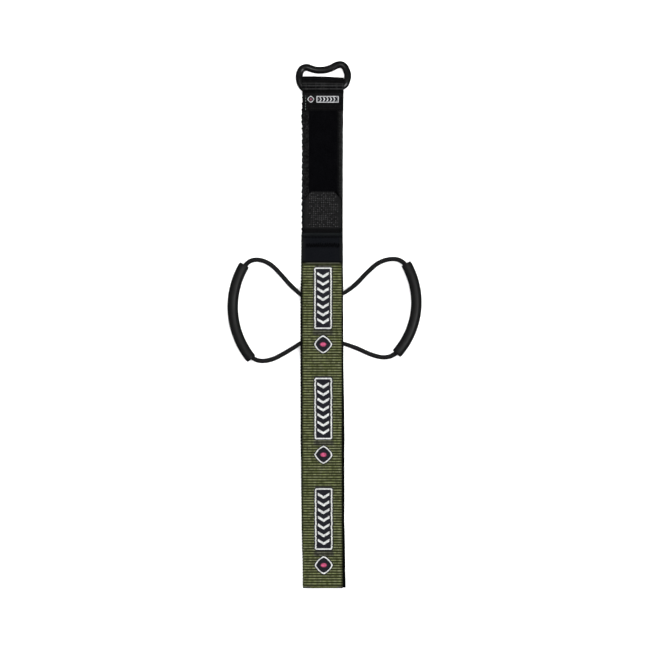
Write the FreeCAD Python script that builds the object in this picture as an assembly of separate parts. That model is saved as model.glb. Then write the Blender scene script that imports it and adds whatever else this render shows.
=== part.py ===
import FreeCAD, Part
import math
import os

os.makedirs("parts", exist_ok=True)
V = FreeCAD.Vector

# ---------------------------------------------------------------- driving dimensions (mm)
# Strap: 30 mm webbing folded in half and lying flat. X across the strap, Y along it with the
# ring end at +Y and the fold at -Y, Z up from the surface that it lies on.
STRAP_W = 30.0            # base webbing
OUTER_W = 29.0            # ribbed outer webbing
PILE_W = 25.0             # loop tape
T_OUTER = 1.0
T_BASE = 0.9
T_PILE = 1.1
GAP = 0.3                 # between the back layer's pile and the tail's pile
FOLD_Y = -194.5           # centre line of the fold
FOLD_END_Y = -197.65      # outermost point of the fold
RING_END_Y = 171.5        # where the webbing opens round the ring's bar
RETURN_END_Y = 161.3      # end of the returned webbing
TAIL_TIP_Y = 69.4         # end of the sewn plies of the tail
BAND_Y0, BAND_Y1 = 48.9, 66.8
HEM_Y1 = 69.4
TAB_Y0, TAB_Y1 = 70.9, 99.9

Z_BACK_BASE = T_OUTER
Z_BACK_PILE = Z_BACK_BASE + T_BASE
Z_BACK_TOP = Z_BACK_PILE + T_PILE
Z_TAIL_PILE = Z_BACK_TOP + GAP
Z_TAIL_BASE = Z_TAIL_PILE + T_PILE
Z_TAIL_OUTER = Z_TAIL_BASE + T_BASE
Z_TAIL_TOP = Z_TAIL_OUTER + T_OUTER
FOLD_Z = Z_BACK_TOP + GAP / 2.0

# Cinch ring: 4.6 mm round section
RING_D = 4.6
RING_X, RING_Y, RING_Z = 1.13, 177.4, 3.6
RING_TURN = 3.7           # turned in the plane of the strap, loose in its webbing
RING_TILT = 4.2           # far side lies on the table
RING_BAR = 15.0
# Closed outline in the ring's own plane: corner points and the radius of each corner
RING_CORNERS = [(15.0, 0.0, 4.2), (19.1, 8.0, 10.0), (14.6, 18.45, 4.5), (0.0, 12.0, 16.0),
                (-14.6, 18.45, 4.5), (-19.1, 8.0, 10.0), (-15.0, 0.0, 4.2)]

# Elastic cord and its two free loops. Each route runs from the upper exit to the lower exit.
CORD_D = 3.0
CORD_EXIT_Z = 4.35
HINGE_X = 16.9            # the loops turn here, just outside the strap's edges
CROSS_UP_Y, CROSS_LO_Y = 23.45, -14.1
CROSS_UP_SLANT, CROSS_LO_SLANT = 0.9, 0.0   # right end further along +Y than the left end
CROSS_W, CROSS_T = 4.2, 1.5
GRIP_D, GRIP_BORE = 7.7, 6.1
GRIP_Z = GRIP_D / 2.0
LEFT_ROUTE = [(-16.9, 23.0), (-23.4, 28.6), (-31.6, 38.2), (-39.5, 46.25),
              (-49.6, 49.75), (-58.0, 46.4), (-63.7, 33.2), (-66.8, 19.2),
              (-66.4, 6.3), (-64.6, -2.5), (-60.5, -14.2), (-52.2, -26.6),
              (-40.6, -27.4), (-28.3, -21.3), (-16.9, -13.9)]
RIGHT_ROUTE = [(16.9, 24.5), (23.9, 29.1), (32.5, 38.8), (43.9, 48.75),
               (59.5, 50.0), (66.2, 36.9), (69.0, 25.5), (69.6, 13.7),
               (67.1, 0.0), (61.8, -11.7), (54.7, -22.3), (46.2, -25.0),
               (35.8, -22.3), (24.7, -16.9), (16.9, -14.4)]
# Grips: arcs of rubber tube, centre, radius and end angles in plan
LEFT_GRIP = (-6.35, 13.55, 61.18, 148.9, 219.7)
RIGHT_GRIP = (12.61, 17.07, 57.6, -42.2, 30.3)


# ---------------------------------------------------------------- helpers
def export(node, shape):
    shape.exportStep("parts/%s.step" % node)
    print("%-26s volume %9.2f mm3  valid %s  solids %d"
          % (node, shape.Volume, shape.isValid(), len(shape.Solids)))


def box(x0, x1, y0, y1, z0, z1):
    return Part.makeBox(x1 - x0, y1 - y0, z1 - z0, V(x0, y0, z0))


def prism_yz(points, x0, x1):
    """Solid with the outline (y, z) carried across from x0 to x1."""
    pts = [V(x0, y, z) for y, z in points]
    wire = Part.makePolygon(pts + [pts[0]])
    return Part.Face(wire).extrude(V(x1 - x0, 0, 0))


def prism_xy(points, z0, z1):
    pts = [V(x, y, z0) for x, y in points]
    wire = Part.makePolygon(pts + [pts[0]])
    return Part.Face(wire).extrude(V(0, 0, z1 - z0))


def hull(points):
    pts = sorted(set((round(a, 6), round(b, 6)) for a, b in points))

    def half(seq):
        out = []
        for p in seq:
            while len(out) > 1 and ((out[-1][0] - out[-2][0]) * (p[1] - out[-2][1])
                                    - (out[-1][1] - out[-2][1]) * (p[0] - out[-2][0])) <= 1e-9:
                out.pop()
            out.append(p)
        return out[:-1]
    return half(pts) + half(pts[::-1])


def circle_points(cy, cz, r, n=36):
    return [(cy + r * math.cos(2 * math.pi * i / n), cz + r * math.sin(2 * math.pi * i / n))
            for i in range(n)]


def raised(y):
    """How far the tail's base and outer plies are lifted over the two cord crossings."""
    h = 0.0
    for yc in (CROSS_UP_Y, CROSS_LO_Y):
        d = abs(y - yc)
        if d <= 2.8:
            h = max(h, 0.7)
        elif d < 7.4:
            h = max(h, 0.7 * 0.5 * (1 + math.cos(math.pi * (d - 2.8) / 4.6)))
    return h


def ply(y0, y1, z0, z1, width):
    """A ply of the tail that rises over the cord crossings."""
    ys = [y0, y1]
    for yc in (CROSS_UP_Y, CROSS_LO_Y):
        ys += [yc + s * d for s in (-1, 1) for d in (2.8, 3.95, 5.1, 6.25, 7.4)]
    ys = sorted(y for y in ys if y0 <= y <= y1)
    out = [(y, z0 + raised(y)) for y in ys] + [(y, z1 + raised(y)) for y in reversed(ys)]
    return prism_yz(out, -width / 2.0, width / 2.0)


def fold_ply(r0, r1, width):
    """Half ring round the fold's centre line."""
    ring = Part.makeCylinder(r1, width, V(-width / 2.0, FOLD_Y, FOLD_Z), V(1, 0, 0)).cut(
        Part.makeCylinder(r0, width, V(-width / 2.0, FOLD_Y, FOLD_Z), V(1, 0, 0)))
    return ring.common(box(-width, width, FOLD_Y - 10, FOLD_Y, FOLD_Z - 10, FOLD_Z + 10))


def tangent_path(points, radii=None, closed=False):
    """Straight runs joined by tangent arcs through corner points. Returns edges and radii."""
    pts = [V(*p) for p in points]
    n = len(pts)
    corners = []
    used = []
    rng = range(n) if closed else range(1, n - 1)
    for i in rng:
        p, a, b = pts[i], pts[i - 1], pts[(i + 1) % n]
        ua, ub = a.sub(p), b.sub(p)
        la, lb = ua.Length, ub.Length
        ua.normalize()
        ub.normalize()
        turn = math.pi - ua.getAngle(ub)
        if radii is None:
            t = 0.45 * min(la, lb)
            r = t / math.tan(turn / 2.0)
        else:
            r = radii[i]
            t = r * math.tan(turn / 2.0)
        used.append(r)
        bis = ua.add(ub)
        bis.normalize()
        centre = p.add(V(bis).multiply(math.hypot(r, t)))
        mid = centre.sub(V(bis).multiply(r))
        corners.append((p.add(V(ua).multiply(t)), mid, p.add(V(ub).multiply(t))))
    edges = []
    if closed:
        for k, c in enumerate(corners):
            nxt = corners[(k + 1) % len(corners)]
            edges.append(Part.Arc(c[0], c[1], c[2]).toShape())
            if c[2].sub(nxt[0]).Length > 1e-6:
                edges.append(Part.LineSegment(c[2], nxt[0]).toShape())
    else:
        at = pts[0]
        for c in corners:
            edges.append(Part.LineSegment(at, c[0]).toShape())
            edges.append(Part.Arc(c[0], c[1], c[2]).toShape())
            at = c[2]
        edges.append(Part.LineSegment(at, pts[-1]).toShape())
    return edges, used


def sweep_round(edges, d, start, direction):
    wire = Part.Wire(edges)
    profile = Part.Wire([Part.Circle(start, direction, d / 2.0).toShape()])
    shape = Part.Wire(wire).makePipeShell([profile], True, True)
    return shape, wire.Length


def seg(x0, y0, x1, y1, w, z0, z1):
    """A flat bar of thread between two points in plan."""
    dx, dy = x1 - x0, y1 - y0
    k = math.hypot(dx, dy)
    nx, ny = -dy / k * w / 2.0, dx / k * w / 2.0
    return prism_xy([(x0 + nx, y0 + ny), (x0 - nx, y0 - ny), (x1 - nx, y1 - ny), (x1 + nx, y1 + ny)],
                    z0, z1)


# ---------------------------------------------------------------- back half of the strap
W = STRAP_W / 2.0
export("outer_webbing_back", box(-OUTER_W / 2, OUTER_W / 2, FOLD_Y, RING_END_Y - 0.2, 0, T_OUTER))
export("base_webbing_back", box(-W, W, FOLD_Y, RING_END_Y - 0.2, Z_BACK_BASE, Z_BACK_PILE))
export("pile_tape_back", box(-PILE_W / 2, PILE_W / 2, FOLD_Y, RETURN_END_Y - 0.4,
                             Z_BACK_PILE, Z_BACK_TOP))
export("ring_webbing_return", box(-W, W, RETURN_END_Y, RING_END_Y - 0.2, Z_BACK_PILE,
                                  Z_BACK_PILE + T_BASE))

# Webbing that goes round the ring's bar: open at both sides, its far fold is slack
inner = hull(circle_points(176.3, 3.5, 2.6) + circle_points(178.6, 3.6, 2.6)
             + circle_points(184.45, 2.0, 1.0))
outer = hull(circle_points(176.3, 3.5, 3.5) + circle_points(178.6, 3.6, 3.5)
             + circle_points(184.45, 2.0, 1.9)
             + [(RING_END_Y, 0.0), (RING_END_Y, Z_BACK_PILE + T_BASE)])
export("ring_webbing_loop", prism_yz(outer, -W, W).cut(prism_yz(inner, -W - 1, W + 1)))

# Thread: seam below the ring, the pale side row by the motif, edge rows of the pile tape
rows = []
for yy in (170.9, 169.6):
    x = -13.6
    while x < 13.0:
        rows.append(seg(x, yy, x + 2.0, yy, 0.35, Z_BACK_PILE + T_BASE, Z_BACK_PILE + T_BASE + 0.2))
        x += 2.75
export("ring_seam_stitches", Part.makeCompound(rows))
rows = [seg(-13.3, 161.7 + 2.6 * i, -13.3, 163.5 + 2.6 * i, 0.35, Z_BACK_PILE + T_BASE,
            Z_BACK_PILE + T_BASE + 0.2) for i in range(3)]
export("return_side_stitches", Part.makeCompound(rows))
rows = [box(s * 11.6 - 0.2, s * 11.6 + 0.2, FOLD_Y + 6, RETURN_END_Y - 1.5, Z_BACK_TOP,
            Z_BACK_TOP + 0.1) for s in (-1, 1)]
export("pile_edge_stitches", Part.makeCompound(rows))

# ---------------------------------------------------------------- the fold
r1 = GAP / 2.0
r2 = r1 + T_PILE
r3 = r2 + T_BASE
r4 = r3 + T_OUTER
export("pile_tape_fold", fold_ply(r1, r2, PILE_W))
export("base_webbing_fold", fold_ply(r2, r3, STRAP_W))
export("outer_webbing_fold", fold_ply(r3, r4, OUTER_W))

# ---------------------------------------------------------------- tail half of the strap
pile = box(-PILE_W / 2, PILE_W / 2, FOLD_Y, TAIL_TIP_Y - 0.4, Z_TAIL_PILE, Z_TAIL_BASE)
for yc in (CROSS_UP_Y, CROSS_LO_Y):
    pile = pile.cut(box(-PILE_W, PILE_W, yc - 2.8, yc + 2.8, Z_TAIL_PILE + 0.3, Z_TAIL_BASE + 1))
export("pile_tape_tail", pile)
export("base_webbing_tail", ply(FOLD_Y, TAIL_TIP_Y, Z_TAIL_BASE, Z_TAIL_OUTER, STRAP_W))
export("outer_webbing_tail", ply(FOLD_Y, BAND_Y0 - 0.3, Z_TAIL_OUTER, Z_TAIL_TOP, OUTER_W))
export("joining_band", box(-W, W, BAND_Y0, BAND_Y1, Z_TAIL_OUTER, Z_TAIL_OUTER + 1.2))
export("band_hem", box(-W, W, BAND_Y1, HEM_Y1, Z_TAIL_OUTER, Z_TAIL_OUTER + 1.5))

top = Z_TAIL_OUTER + 1.2
rows = []
x = -13.5
while x < 12.5:
    rows.append(seg(x, 65.8, x + 1.9, 65.8, 0.35, top, top + 0.2))
    x += 2.6
x, up = -12.6, True
while x < 12.4:
    ya, yb = (58.1, 61.1) if up else (61.1, 58.1)
    rows.append(seg(x + 0.12, ya + (0.2 if up else -0.2), x + 1.28, yb - (0.2 if up else -0.2),
                    0.35, top, top + 0.2))
    x += 1.4
    up = not up
export("band_stitches", Part.makeCompound(rows))

rows = [box(s * 13.6 - 0.2, s * 13.6 + 0.2, FOLD_Y + 6, y1 - 0.3, Z_TAIL_TOP, Z_TAIL_TOP + 0.1)
        for s in (-1, 1) for y1 in (CROSS_LO_Y - 7.6,)]
rows += [box(s * 13.6 - 0.2, s * 13.6 + 0.2, CROSS_LO_Y + 7.6, CROSS_UP_Y - 7.6, Z_TAIL_TOP,
             Z_TAIL_TOP + 0.1) for s in (-1, 1)]
rows += [box(s * 13.6 - 0.2, s * 13.6 + 0.2, CROSS_UP_Y + 7.6, BAND_Y0 - 0.6, Z_TAIL_TOP,
             Z_TAIL_TOP + 0.1) for s in (-1, 1)]
export("outer_edge_stitches", Part.makeCompound(rows))

# ---------------------------------------------------------------- cord crossings in their channels
for node, yc, slant in (("cord_crossing_upper", CROSS_UP_Y, CROSS_UP_SLANT),
                        ("cord_crossing_lower", CROSS_LO_Y, CROSS_LO_SLANT)):
    z0 = Z_TAIL_PILE + 0.3
    k = slant / 30.0
    h = CROSS_W / 2
    shape = prism_xy([(-15.05, yc - 15.05 * k - 1.2), (-14.2, yc - 14.2 * k - h),
                      (14.2, yc + 14.2 * k - h), (15.05, yc + 15.05 * k - 1.2),
                      (15.05, yc + 15.05 * k + 1.2), (14.2, yc + 14.2 * k + h),
                      (-14.2, yc - 14.2 * k + h), (-15.05, yc - 15.05 * k + 1.2)],
                     z0, z0 + CROSS_T)
    for s in (-1, 1):
        shape = shape.fuse(Part.makeCylinder(CORD_D / 2, 0.25,
                                             V(s * 15.05, yc + s * 15.05 * k, CORD_EXIT_Z),
                                             V(s, 0, 0)))
    export(node, shape.removeSplitter())

# Bar tacks through the plies on both sides of each crossing close the channels
rows = []
for yc in (CROSS_UP_Y, CROSS_LO_Y):
    for s in (-1, 1):
        for e in (-1, 1):
            rows.append(box(min(s * 10.6, s * 13.0), max(s * 10.6, s * 13.0), yc + e * 8.2 - 0.45,
                            yc + e * 8.2 + 0.45, Z_TAIL_TOP, Z_TAIL_TOP + 0.2))
export("channel_bartacks", Part.makeCompound(rows))

# ---------------------------------------------------------------- hook tab at the tip of the tail
tab = [(-14.1, TAB_Y0), (14.1, TAB_Y0), (13.6, 94.0), (8.9, TAB_Y1), (-9.1, TAB_Y1), (-12.9, 94.0)]
export("hook_tape", prism_xy(tab, Z_TAIL_PILE, Z_TAIL_PILE + 0.6))
export("hook_tab_backing", prism_xy(tab, Z_TAIL_PILE + 0.6, Z_TAIL_PILE + 1.3))

# ---------------------------------------------------------------- cinch ring
edges, used = tangent_path([(u, v, 0) for u, v, r in RING_CORNERS],
                           radii=[r for u, v, r in RING_CORNERS], closed=True)
wire = Part.Wire(Part.__sortEdges__(edges))
start = V(0, 0, 0)
bar = [e for e in wire.Edges if abs(e.Vertexes[0].Y) < 1e-6 and abs(e.Vertexes[-1].Y) < 1e-6][0]
mid = bar.valueAt((bar.FirstParameter + bar.LastParameter) / 2.0)
profile = Part.Wire([Part.Circle(bar.Vertexes[0].Point, V(1, 0, 0), RING_D / 2).toShape()])
ring = wire.makePipeShell([profile], True, True)
if not ring.isValid() or ring.Volume < 0:
    ring = Part.Solid(Part.Shell(ring.Faces))
ring.rotate(V(0, 0, 0), V(1, 0, 0), -RING_TILT)
ring.rotate(V(0, 0, 0), V(0, 0, 1), RING_TURN)
ring.translate(V(RING_X, RING_Y, RING_Z))
export("cinch_ring", ring)
bb = ring.BoundBox
print("ring box", [round(v, 2) for v in (bb.XMin, bb.XMax, bb.YMin, bb.YMax, bb.ZMin, bb.ZMax)],
      "section x length", round(math.pi * RING_D ** 2 / 4 * wire.Length, 1))

# ---------------------------------------------------------------- cord loops and grips
for side, route, grip in (("left", LEFT_ROUTE, LEFT_GRIP), ("right", RIGHT_ROUTE, RIGHT_GRIP)):
    n = len(route)
    pts = []
    for i, (x, y) in enumerate(route):
        # the exit is at the tail's own level and the grip rests on the surface below
        run = min(i, n - 1 - i)
        k = min(1.0, run / 3.0)
        pts.append((x, y, CORD_EXIT_Z + (GRIP_Z - CORD_EXIT_Z) * (k * k * (3 - 2 * k))))
    edges, radii = tangent_path(pts)
    print(side, "cord radii", [round(r, 1) for r in radii])
    p0, p1 = V(*pts[0]), V(*pts[1])
    d = p1.sub(p0)
    wire = Part.Wire(edges)
    profile = Part.Wire([Part.Circle(p0, d, CORD_D / 2).toShape()])
    tube = wire.makePipeShell([profile], True, True)
    print(side, "cord length", round(wire.Length, 2), "volume", round(tube.Volume, 2),
          "section x length", round(math.pi * CORD_D ** 2 / 4 * wire.Length, 2))
    for q in (pts[0], pts[-1]):
        tube = tube.fuse(Part.makeSphere(CORD_D / 2, V(*q)))
    export("%s_cord" % side, tube.removeSplitter())

    cx, cy, r, a0, a1 = grip
    a, m, b = [math.radians(t) for t in (a0, (a0 + a1) / 2, a1)]
    at = lambda t: V(cx + r * math.cos(t), cy + r * math.sin(t), GRIP_Z)
    arc = Part.Wire([Part.Arc(at(a), at(m), at(b)).toShape()])
    tangent = V(-math.sin(a), math.cos(a), 0)
    skin = arc.makePipeShell([Part.Wire([Part.Circle(at(a), tangent, GRIP_D / 2).toShape()])],
                             True, True)
    bore = arc.makePipeShell([Part.Wire([Part.Circle(at(a), tangent, GRIP_BORE / 2).toShape()])],
                             True, True)
    export("%s_grip" % side, skin.cut(bore))
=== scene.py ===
import bpy
import math
import random
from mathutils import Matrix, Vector, noise


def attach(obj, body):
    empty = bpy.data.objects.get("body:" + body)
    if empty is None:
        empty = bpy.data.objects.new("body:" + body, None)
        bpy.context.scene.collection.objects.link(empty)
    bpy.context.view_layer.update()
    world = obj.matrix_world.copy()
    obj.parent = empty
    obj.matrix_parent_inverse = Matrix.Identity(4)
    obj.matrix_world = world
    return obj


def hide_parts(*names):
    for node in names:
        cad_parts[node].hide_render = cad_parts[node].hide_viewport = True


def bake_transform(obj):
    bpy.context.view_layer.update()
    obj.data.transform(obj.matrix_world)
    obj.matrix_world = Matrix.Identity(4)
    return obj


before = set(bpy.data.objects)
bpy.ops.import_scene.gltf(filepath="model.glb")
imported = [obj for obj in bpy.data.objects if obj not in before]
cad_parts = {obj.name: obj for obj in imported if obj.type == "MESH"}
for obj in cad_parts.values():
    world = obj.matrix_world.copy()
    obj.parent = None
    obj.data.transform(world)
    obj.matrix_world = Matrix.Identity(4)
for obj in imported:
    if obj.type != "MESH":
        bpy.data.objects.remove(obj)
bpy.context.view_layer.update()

MM = 0.001

# ------------------------------------------------------------------ the strap's own dimensions (mm)
FOLD_Y, FOLD_Z = -194.5, 3.15
CROSS_UP_Y, CROSS_LO_Y = 23.45, -14.1
RIB = 1.95                      # pitch of the ribs in the outer webbing
EDGE_PITCH = 2.3                # pitch of the scallops along the base webbing's edge
CORD_Z = 4.35
GRIP_Z = 3.85


def table(points):
    """Smooth curve through (position, value) pairs; flat beyond its ends."""
    pts = sorted(points)

    def f(v):
        if v <= pts[0][0]:
            return pts[0][1]
        for (a, fa), (b, fb) in zip(pts, pts[1:]):
            if v <= b:
                k = (v - a) / (b - a)
                k = k * k * (3 - 2 * k)
                return fa + (fb - fa) * k
        return pts[-1][1]
    return f


# centre line and half width of each layer along Y: the folded halves don't lie quite square
tail_c = table([(-197, 1.11), (-182, 0.91), (-164, 0.26), (-146, -0.09), (-119, -0.49), (-74, -0.89), (-20, -1.04), (16, -1.04), (43, -0.64), (70, -0.49)])
tail_hw = table([(-197, 16.04), (-182, 15.94), (-164, 15.84), (-119, 15.74), (16, 15.69), (43, 15.59), (70, 15.39)])
back_c = table([(-197, 1.06), (-182, 1.16), (-146, 0.71), (-74, 0.71), (-20, 0.01), (16, -0.09), (60, -0.4),
                (90, -0.36), (120, -0.25), (148, -0.2), (157, -0.32), (163, -0.1), (172, 0.12)])
back_hw = table([(-197, 15.95), (-182, 15.75), (-146, 15.6), (16, 15.5), (145, 15.42), (155, 15.72),
                 (162, 15.6), (172, 15.4)])
outer_c = table([(-197, 0.06), (-175, -0.09), (-140, -0.44), (45, -0.49)])
outer_hw = table([(-197, 14.95), (-175, 14.85), (45, 14.8)])


def raised(y):
    """Lift of the tail's base and outer plies over the two cord crossings."""
    h = 0.0
    for yc in (CROSS_UP_Y, CROSS_LO_Y):
        d = abs(y - yc)
        if d <= 2.4:
            h = max(h, 0.66)
        elif d < 8.0:
            h = max(h, 0.66 * 0.5 * (1 + math.cos(math.pi * (d - 2.4) / 5.6)))
    return h


# ------------------------------------------------------------------ mesh helpers
def new_object(name, verts, faces, uvs, material, smooth=True):
    me = bpy.data.meshes.new(name)
    me.from_pydata([(x * MM, y * MM, z * MM) for x, y, z in verts], [], faces)
    layer = me.uv_layers.new(name="UVMap")
    for loop in me.loops:
        layer.data[loop.index].uv = uvs[loop.vertex_index]
    me.validate()
    me.update()
    if smooth:
        me.shade_smooth()
    ob = bpy.data.objects.new(name, me)
    bpy.context.scene.collection.objects.link(ob)
    me.materials.append(material)
    return ob


def spread(a, b, step):
    n = max(1, int(math.ceil(abs(b - a) / step)))
    return [a + (b - a) * i / n for i in range(n + 1)]


def folded_rows(r, y_tail, y_back, step_tail, step_back, lift=False):
    """Rows down the tail, round the fold and back along the underside.
    Each row is (s, y, z, ny, nz, part); s runs along the ply and equals y on the tail."""
    rows = []
    for y in spread(y_tail, FOLD_Y, step_tail)[:-1]:
        rows.append((y, y, FOLD_Z + r + (raised(y) if lift else 0.0), 0.0, 1.0, "tail"))
    n = max(10, int(math.pi * r / 0.22))
    for i in range(n + 1):
        a = math.pi / 2 + math.pi * i / n
        rows.append((FOLD_Y - r * math.pi * i / n, FOLD_Y + r * math.cos(a),
                     FOLD_Z + r * math.sin(a), math.cos(a), math.sin(a), "fold"))
    s0 = FOLD_Y - math.pi * r
    for y in spread(FOLD_Y, y_back, step_back)[1:]:
        rows.append((s0 - (y - FOLD_Y), y, FOLD_Z - r, 0.0, -1.0, "back"))
    return rows


def ribbon(name, rows, hw, centre, t, cols, material, outer=None, inner=None, edge=None,
           inner_cols=4, round_ends=True, flare=None):
    """A closed thick band along rows. outer(s, x) and inner(s, x) move the two faces along the
    normal; edge(s, side) moves the edges across."""
    verts, uvs, faces = [], [], []
    n_edge = 3
    count = None
    last = len(rows) - 1
    for k, (s, y, z, ny, nz, part) in enumerate(rows):
        w, c = hw(y, part), centre(y, part)
        xl, xr = c - w, c + w
        if edge:
            xl -= edge(s, -1)
            xr += edge(s, 1)
        h = t / 2.0
        if round_ends:
            d = min(k, last - k)
            if d < 3:
                h *= (0.45, 0.8, 0.95)[d]
        ring = []
        rad = t * 0.45
        for i in range(cols + 1):
            f = i / cols
            x = xl + rad + (xr - xl - 2 * rad) * f
            o = h + (outer(s, x) if outer else 0.0)
            ring.append((x, o))
        for i in range(1, n_edge + 1):
            a = math.pi / 2 - math.pi * i / (n_edge + 1)
            ring.append((xr - rad + rad * math.cos(a), h * math.sin(a)))
        for i in range(inner_cols + 1):
            f = 1 - i / inner_cols
            x = xl + rad + (xr - xl - 2 * rad) * f
            o = -h + (inner(s, x) if inner else 0.0)
            ring.append((x, o))
        for i in range(1, n_edge + 1):
            a = -math.pi / 2 - math.pi * i / (n_edge + 1)
            ring.append((xl + rad + rad * math.cos(a), h * math.sin(a)))
        base = len(verts)
        for x, o in ring:
            dy = flare(x, ny) if flare and ny < 0 else 0.0
            verts.append((x, y + ny * o + dy, z + nz * o))
            uvs.append((x / 100.0, s / 100.0))
        if count is None:
            count = len(ring)
        if k:
            for i in range(count):
                j = (i + 1) % count
                faces.append((base - count + i, base - count + j, base + j, base + i))
    # ends closed with strips between the two faces
    top = list(range(cols + 1))
    for base, flip in ((0, False), (len(verts) - count, True)):
        loop = [base + i for i in range(count)]
        faces.append(tuple(loop if flip else loop[::-1]))
    ob = new_object(name, verts, faces, uvs, material)
    fix_normals(ob)
    return ob


def fix_normals(ob):
    import bmesh
    bm = bmesh.new()
    bm.from_mesh(ob.data)
    bmesh.ops.recalc_face_normals(bm, faces=bm.faces)
    bm.to_mesh(ob.data)
    bm.free()
    ob.data.update()


def frames(points, closed=False):
    """Tangents and turning-free side vectors along a line."""
    n = len(points)
    tang = []
    for i in range(n):
        if closed:
            d = points[(i + 1) % n] - points[i - 1]
        else:
            d = points[min(i + 1, n - 1)] - points[max(i - 1, 0)]
        tang.append(d.normalized())
    up = Vector((0, 0, 1))
    out = []
    for i in range(n):
        t = tang[i]
        side = up.cross(t)
        if side.length < 1e-6:
            side = Vector((1, 0, 0))
        side.normalize()
        out.append((t, side, t.cross(side).normalized()))
    return out


def tube(name, points, radius, material, segments=24, closed=False, shape=None, ends="round",
         bore=0.0, along=1.0):
    """Round bar or tube along points (mm). shape(i, f) gives (wide, high) radii where it isn't
    round. UV: u round it, v its length in cm."""
    pts = [Vector(p) for p in points]
    fr = frames(pts, closed)
    verts, uvs, faces = [], [], []
    length = [0.0]
    for a, b in zip(pts, pts[1:]):
        length.append(length[-1] + (b - a).length)
    total = length[-1] or 1.0
    rings = []

    def add(centre, side, nrm, rw, rh, v):
        base = len(verts)
        for j in range(segments):
            a = 2 * math.pi * j / segments
            verts.append(tuple(centre + side * (rw * math.cos(a)) + nrm * (rh * math.sin(a))))
            uvs.append((j / segments, v / 10.0))
        rings.append(base)

    n = len(pts)
    if ends == "round" and not closed:
        t, s_, u_ = fr[0]
        rw, rh = shape(0, 0.0) if shape else (radius, radius)
        for q in (0.12, 0.45, 0.75, 0.93):
            k = math.sqrt(max(0.0, 1 - (1 - q) ** 2))
            add(pts[0] - t * (radius * (1 - q)), s_, u_, rw * k, rh * k, -radius * (1 - q))
    for i in range(n):
        t, s_, u_ = fr[i]
        rw, rh = shape(i, length[i] / total) if shape else (radius, radius)
        add(pts[i], s_, u_, rw, rh, length[i])
    if ends == "round" and not closed:
        t, s_, u_ = fr[-1]
        rw, rh = shape(n - 1, 1.0) if shape else (radius, radius)
        for q in (0.93, 0.75, 0.45, 0.12):
            k = math.sqrt(max(0.0, 1 - (1 - q) ** 2))
            add(pts[-1] + t * (radius * (1 - q)), s_, u_, rw * k, rh * k, total + radius * (1 - q))
    m = len(rings)
    for k in range(m if closed else m - 1):
        a, b = rings[k], rings[(k + 1) % m]
        for j in range(segments):
            j2 = (j + 1) % segments
            faces.append((a + j, a + j2, b + j2, b + j))
    if not closed:
        if bore > 0:
            inner = []
            for i in range(n):
                t, s_, u_ = fr[i]
                base = len(verts)
                for j in range(segments):
                    a = 2 * math.pi * j / segments
                    verts.append(tuple(pts[i] + s_ * (bore * math.cos(a)) + u_ * (bore * math.sin(a))))
                    uvs.append((j / segments, length[i] / 10.0))
                inner.append(base)
            for a, b in zip(inner, inner[1:]):
                for j in range(segments):
                    j2 = (j + 1) % segments
                    faces.append((a + j, b + j, b + j2, a + j2))
            for a, b, flip in ((rings[0], inner[0], False), (rings[-1], inner[-1], True)):
                for j in range(segments):
                    j2 = (j + 1) % segments
                    f = (a + j, b + j, b + j2, a + j2)
                    faces.append(f[::-1] if flip else f)
        else:
            faces.append(tuple(rings[0] + j for j in range(segments))[::-1])
            faces.append(tuple(rings[-1] + j for j in range(segments)))
    ob = new_object(name, verts, faces, uvs, material)
    fix_normals(ob)
    return ob


def nurbs_points(route, per_run=14):
    """Points on the smooth line whose control points are the route (mm)."""
    cu = bpy.data.curves.new("route", "CURVE")
    cu.dimensions = "3D"
    cu.resolution_u = per_run
    sp = cu.splines.new("NURBS")
    sp.points.add(len(route) - 1)
    for p, q in zip(sp.points, route):
        p.co = (q[0] * MM, q[1] * MM, q[2] * MM, 1.0)
    sp.order_u = 3
    sp.use_endpoint_u = True
    sp.resolution_u = per_run
    ob = bpy.data.objects.new("route", cu)
    bpy.context.scene.collection.objects.link(ob)
    bpy.context.view_layer.update()
    me = bpy.data.meshes.new_from_object(ob)
    pts = [v.co.copy() / MM for v in me.vertices]
    bpy.data.objects.remove(ob)
    bpy.data.curves.remove(cu)
    bpy.data.meshes.remove(me)
    return pts


def closed_points(pts, per=14):
    """Smooth closed line through pts (mm)."""
    cu = bpy.data.curves.new("outline", "CURVE")
    cu.dimensions = "3D"
    sp = cu.splines.new("BEZIER")
    sp.bezier_points.add(len(pts) - 1)
    for b, q in zip(sp.bezier_points, pts):
        b.co = (q[0] * MM, q[1] * MM, q[2] * MM)
        b.handle_left_type = b.handle_right_type = "AUTO"
    sp.use_cyclic_u = True
    sp.resolution_u = per
    cu.resolution_u = per
    ob = bpy.data.objects.new("outline", cu)
    bpy.context.scene.collection.objects.link(ob)
    bpy.context.view_layer.update()
    me = bpy.data.meshes.new_from_object(ob)
    out = [v.co.copy() / MM for v in me.vertices]
    bpy.data.objects.remove(ob)
    bpy.data.curves.remove(cu)
    bpy.data.meshes.remove(me)
    return out


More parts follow.
